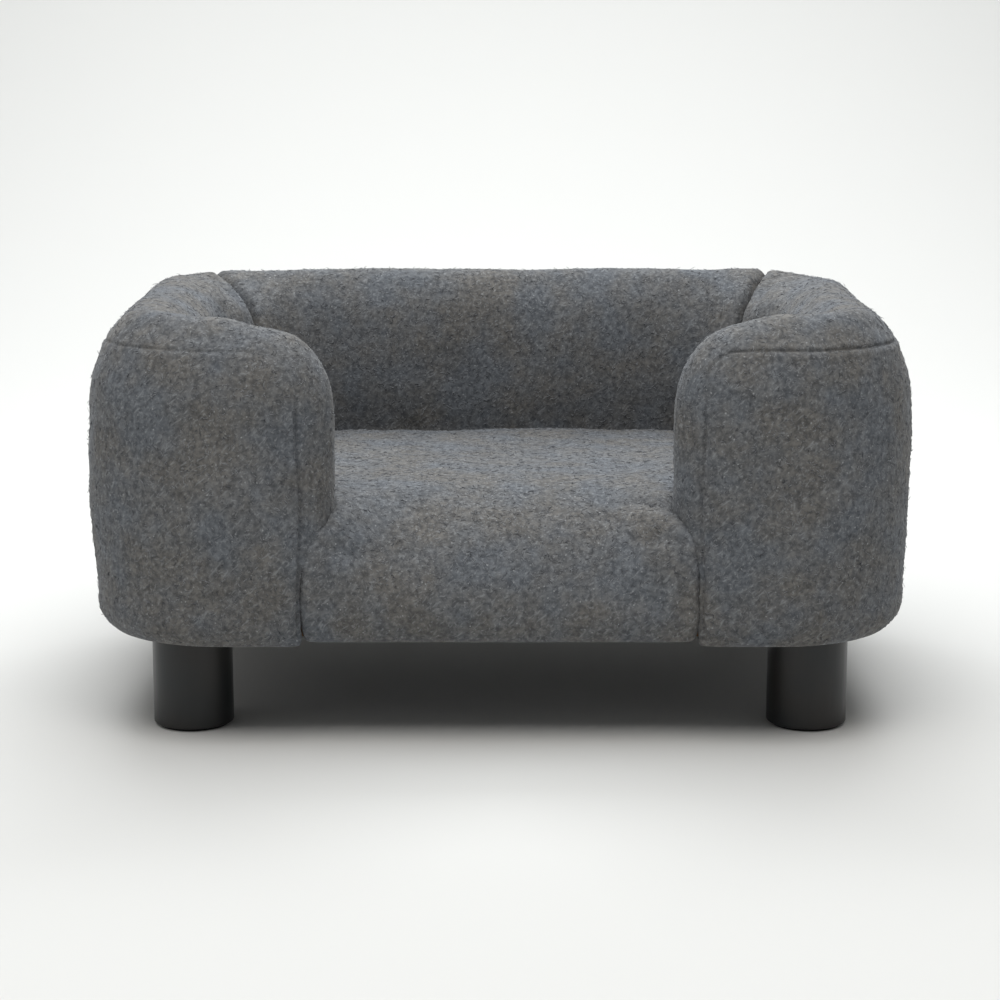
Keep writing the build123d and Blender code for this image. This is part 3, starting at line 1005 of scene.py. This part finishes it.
def makeBonded(name, first, second, dot, depth):
    # spun-bonded cloth or pressed felt: matt black fibre with small pressed dots
    material = newMaterial(name)
    place = addNode(material, "ShaderNodeTexCoord")
    fibre = addNode(material, "ShaderNodeTexNoise", {"Vector": (place, "Object")}, Scale=1000 / 1.5, Detail=3.0)
    dots = addNode(material, "ShaderNodeTexVoronoi", {"Vector": (place, "Object")}, Scale=1000 / dot, Randomness=0.25)
    pressed = addNode(material, "ShaderNodeMapRange", {"Value": (dots, "Distance")}, interpolation_type="SMOOTHSTEP")
    pressed.inputs["From Min"].default_value = 0.18
    pressed.inputs["From Max"].default_value = 0.34
    colour = addNode(material, "ShaderNodeMix", {0: (fibre, "Fac")}, data_type="RGBA")
    colour.inputs[6].default_value = toLinear(first)
    colour.inputs[7].default_value = toLinear(second)
    height = addNode(material, "ShaderNodeMath", {0: (pressed, "Result"), 1: (fibre, "Fac")}, operation="ADD")
    bump = addNode(material, "ShaderNodeBump", {"Height": (height, "Value")}, Strength=0.5, Distance=depth)
    links = {"Base Color": (colour, 2), "Normal": (bump, "Normal")}
    shader = addNode(material, "ShaderNodeBsdfPrincipled", links, Roughness=0.9)
    shader.inputs["Specular IOR Level"].default_value = 0.3
    addNode(material, "ShaderNodeOutputMaterial", {"Surface": (shader, "BSDF")})
    return material


finishes = {
    "pine": makeWood("pineBoard", "#d9b985", "#b98d54", 5.0, (0, 0, 0.02), 0.6),
    "plywood": makeWood("birchPlywood", "#cfb48c", "#b3946a", 9.0, (0, 0, 0.04), 0.55),
    "hardboard": makeHardboard(),
    "zinc_steel": makeZinc(),
    "black_lacquered_wood": makeLacquer(),
    "felt_pad": makeBonded("pressedFelt", "#141416", "#232326", 3.0, 0.0002),
    "lining_cloth": makeBonded("spunBondedCloth", "#101012", "#1d1d20", 2.4, 0.0002),
}

for entry in frame["record"]["subparts"]:
    node = frame["nodes"][entry["node"]]
    if entry["material_slot"] in finishes:
        node.data.materials.clear()
        node.data.materials.append(finishes[entry["material_slot"]])

nap = {"count": 11000, "length": 0.0050, "width": 0.00042, "lift": 0.10, "strays": 0.12, "curl": 0.5, "seed": 71}


def spindle():
    # one fibre: a three-sided rod drawn out to a point at both ends
    clearSelection()
    bpy.ops.mesh.primitive_cylinder_add(vertices=3, radius=1, depth=0.8, end_fill_type="TRIFAN")
    rod = bpy.context.object
    for vertex in rod.data.vertices:
        if math.hypot(vertex.co.x, vertex.co.y) < 0.01:
            vertex.co.z = math.copysign(1.0, vertex.co.z)
    finishForm(rod)
    points = getPoints(rod)
    faces = [list(face.vertices) for face in rod.data.polygons]
    bpy.data.objects.remove(rod)
    return points, faces


def spreadPoints(piece, count, rng, low):
    # random places on a piece above a height, with their normals
    mesh = piece.data
    mesh.calc_loop_triangles()
    corners = np.zeros(len(mesh.loop_triangles) * 3, np.int32)
    mesh.loop_triangles.foreach_get("vertices", corners)
    corners = corners.reshape(-1, 3)
    points, normals = getPoints(piece), getNormals(piece)
    a, b, c = (points[corners[:, k]] for k in range(3))
    area = np.linalg.norm(np.cross(b - a, c - a), axis=1) * ((a + b + c)[:, 2] / 3 > low)
    chosen = rng.choice(len(corners), size=count, p=area / area.sum())
    u, v = rng.random(count), rng.random(count)
    flip = u + v > 1
    u[flip], v[flip] = 1 - u[flip], 1 - v[flip]
    w = 1 - u - v
    place = a[chosen] * w[:, None] + b[chosen] * u[:, None] + c[chosen] * v[:, None]
    facing = sum(normals[corners[chosen, k]] * f[:, None] for k, f in enumerate((w, u, v)))
    return place, facing / np.linalg.norm(facing, axis=1)[:, None]


def makeNap(piece, seed, low, raised):
    rng = np.random.default_rng(nap["seed"] + seed)
    rod, faces = spindle()
    place, facing = spreadPoints(piece, nap["count"], rng, low)
    count = len(place)
    along = rng.normal(size=(count, 3))
    along -= facing * np.sum(along * facing, axis=1)[:, None]
    along /= np.linalg.norm(along, axis=1)[:, None]
    beside = np.cross(facing, along)
    length = nap["length"] * rng.uniform(0.35, 1.25, count) / 2
    width = nap["width"] * rng.uniform(0.6, 1.3, count) / 2
    lift = rng.uniform(-0.5, 1.0, count) * nap["lift"] * raised + 0.06
    stray = rng.random(count) < nap["strays"]
    lift[stray] += rng.uniform(0.1, 0.5, stray.sum()) * raised
    curl = rng.normal(size=count) * nap["curl"]
    s = rod[:, 2]
    arc = place[:, None, :] + along[:, None, :] * (length[:, None] * s)[:, :, None]
    arc += beside[:, None, :] * ((length * curl)[:, None] * s ** 2)[:, :, None]
    rise = (length * lift)[:, None] * (s + 0.7) - (length * 0.10)[:, None] * s ** 2
    arc += facing[:, None, :] * (rise + 0.0001)[:, :, None]
    arc += beside[:, None, :] * (width[:, None] * rod[:, 0])[:, :, None]
    arc += facing[:, None, :] * (width[:, None] * rod[:, 1])[:, :, None]
    step = len(rod)
    allFaces = [[corner + step * i for corner in face] for i in range(count) for face in faces]
    mesh = bpy.data.meshes.new(piece.name + "Nap")
    mesh.from_pydata(arc.reshape(-1, 3).tolist(), [], allFaces)
    fibres = bpy.data.objects.new(piece.name + "Nap", mesh)
    bpy.context.scene.collection.objects.link(fibres)
    makeActive(fibres)
    bpy.ops.object.mode_set(mode="EDIT")
    bpy.ops.mesh.select_all(action="SELECT")
    bpy.ops.mesh.normals_make_consistent(inside=False)
    bpy.ops.object.mode_set(mode="OBJECT")
    bpy.ops.object.shade_smooth()
    mesh.materials.append(napWool)
    return fibres


softNodes = {name: values["nodes"] for name, values in arms.items()}
softNodes["backRoll"] = ["foam_back", "cover_back_roll", "cover_outer_back"]
softNodes["seatPad"] = ["foam_seat", "seat_wadding", "cover_seat"]
for name, piece in softPieces.items():
    piece.data.materials.append(tweed)
    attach(piece, "root")
    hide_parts(*softNodes[name])
    worn = name == "seatPad"  # the seat's nap lies flatter, as it is leant on
    fibres = makeNap(piece, len(name), 0.12 if worn else 0.078, 0.3 if worn else 1.0)
    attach(fibres, "root")
    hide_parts(*softNodes[name])
print("nap laid on", len(softPieces), "pieces")

undersideCloth.data.materials.append(finishes["lining_cloth"])
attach(undersideCloth, "root")
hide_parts("dust_cover")


# studio: pale sweep and four soft lights, most of the light from above and behind
studio = {
    "floor": "#d6d6d4",
    "world": 0.22,
    "lights": {
        "overhead": (31.0, (2.2, 1.8), (0, 0.25, 2.2), (0, 0.05, 0.2), (0.95, 0.98, 1.0)),
        "behind": (43.0, (2.4, 1.0), (0, 1.7, 1.9), (0, 0, 0.2), (0.97, 0.99, 1.0)),
        "aboveFront": (33.0, (2.2, 1.2), (0, -1.2, 2.4), (0, 0, 0.2), (1.0, 0.985, 0.96)),
        "leftSide": (6.5, (1.6, 1.6), (-2.2, -0.7, 1.7), (0, 0, 0.2), (1.0, 0.99, 0.97)),
    },
}

clearSelection()
bpy.ops.mesh.primitive_plane_add(size=1)
floor = bpy.context.object
floor.name = floor.data.name = "floor"
floor.scale = (16, 12, 1)
floor.location = (0, -3.6, 0)
bpy.ops.object.transform_apply(location=True, rotation=True, scale=True)
bpy.ops.object.mode_set(mode="EDIT")
bpy.ops.mesh.select_all(action="DESELECT")
bpy.ops.mesh.select_mode(type="EDGE")
floorMesh = bmesh.from_edit_mesh(floor.data)
for edge in floorMesh.edges:
    edge.select = all(vertex.co.y > 2 for vertex in edge.verts)
bmesh.update_edit_mesh(floor.data)
bpy.ops.mesh.extrude_region_move(TRANSFORM_OT_translate={"value": (0, 0, 5)})
bpy.ops.object.mode_set(mode="OBJECT")
applyModifier(floor, "BEVEL", width=1.2, segments=16, limit_method="ANGLE")
bpy.ops.object.shade_smooth()
floor.data.materials.append(makePlain("paleFloor", studio["floor"], 0.9))


def addLight(name, energy, size, place, target, colour):
    data = bpy.data.lights.new(name, "AREA")
    data.energy = energy
    data.color = colour
    data.shape = "RECTANGLE"
    data.size, data.size_y = size
    lamp = bpy.data.objects.new(name, data)
    lamp.location = place
    lamp.rotation_euler = (Vector(target) - Vector(place)).to_track_quat("-Z", "Y").to_euler()
    bpy.context.scene.collection.objects.link(lamp)
    return lamp


for name, settings in studio["lights"].items():
    addLight(name, *settings)
world = bpy.data.worlds.new("studio")
bpy.context.scene.world = world
world.use_nodes = True
world.node_tree.nodes["Background"].inputs["Color"].default_value = (1, 1, 1, 1)
world.node_tree.nodes["Background"].inputs["Strength"].default_value = studio["world"]
bpy.context.scene.view_settings.view_transform = "Standard"
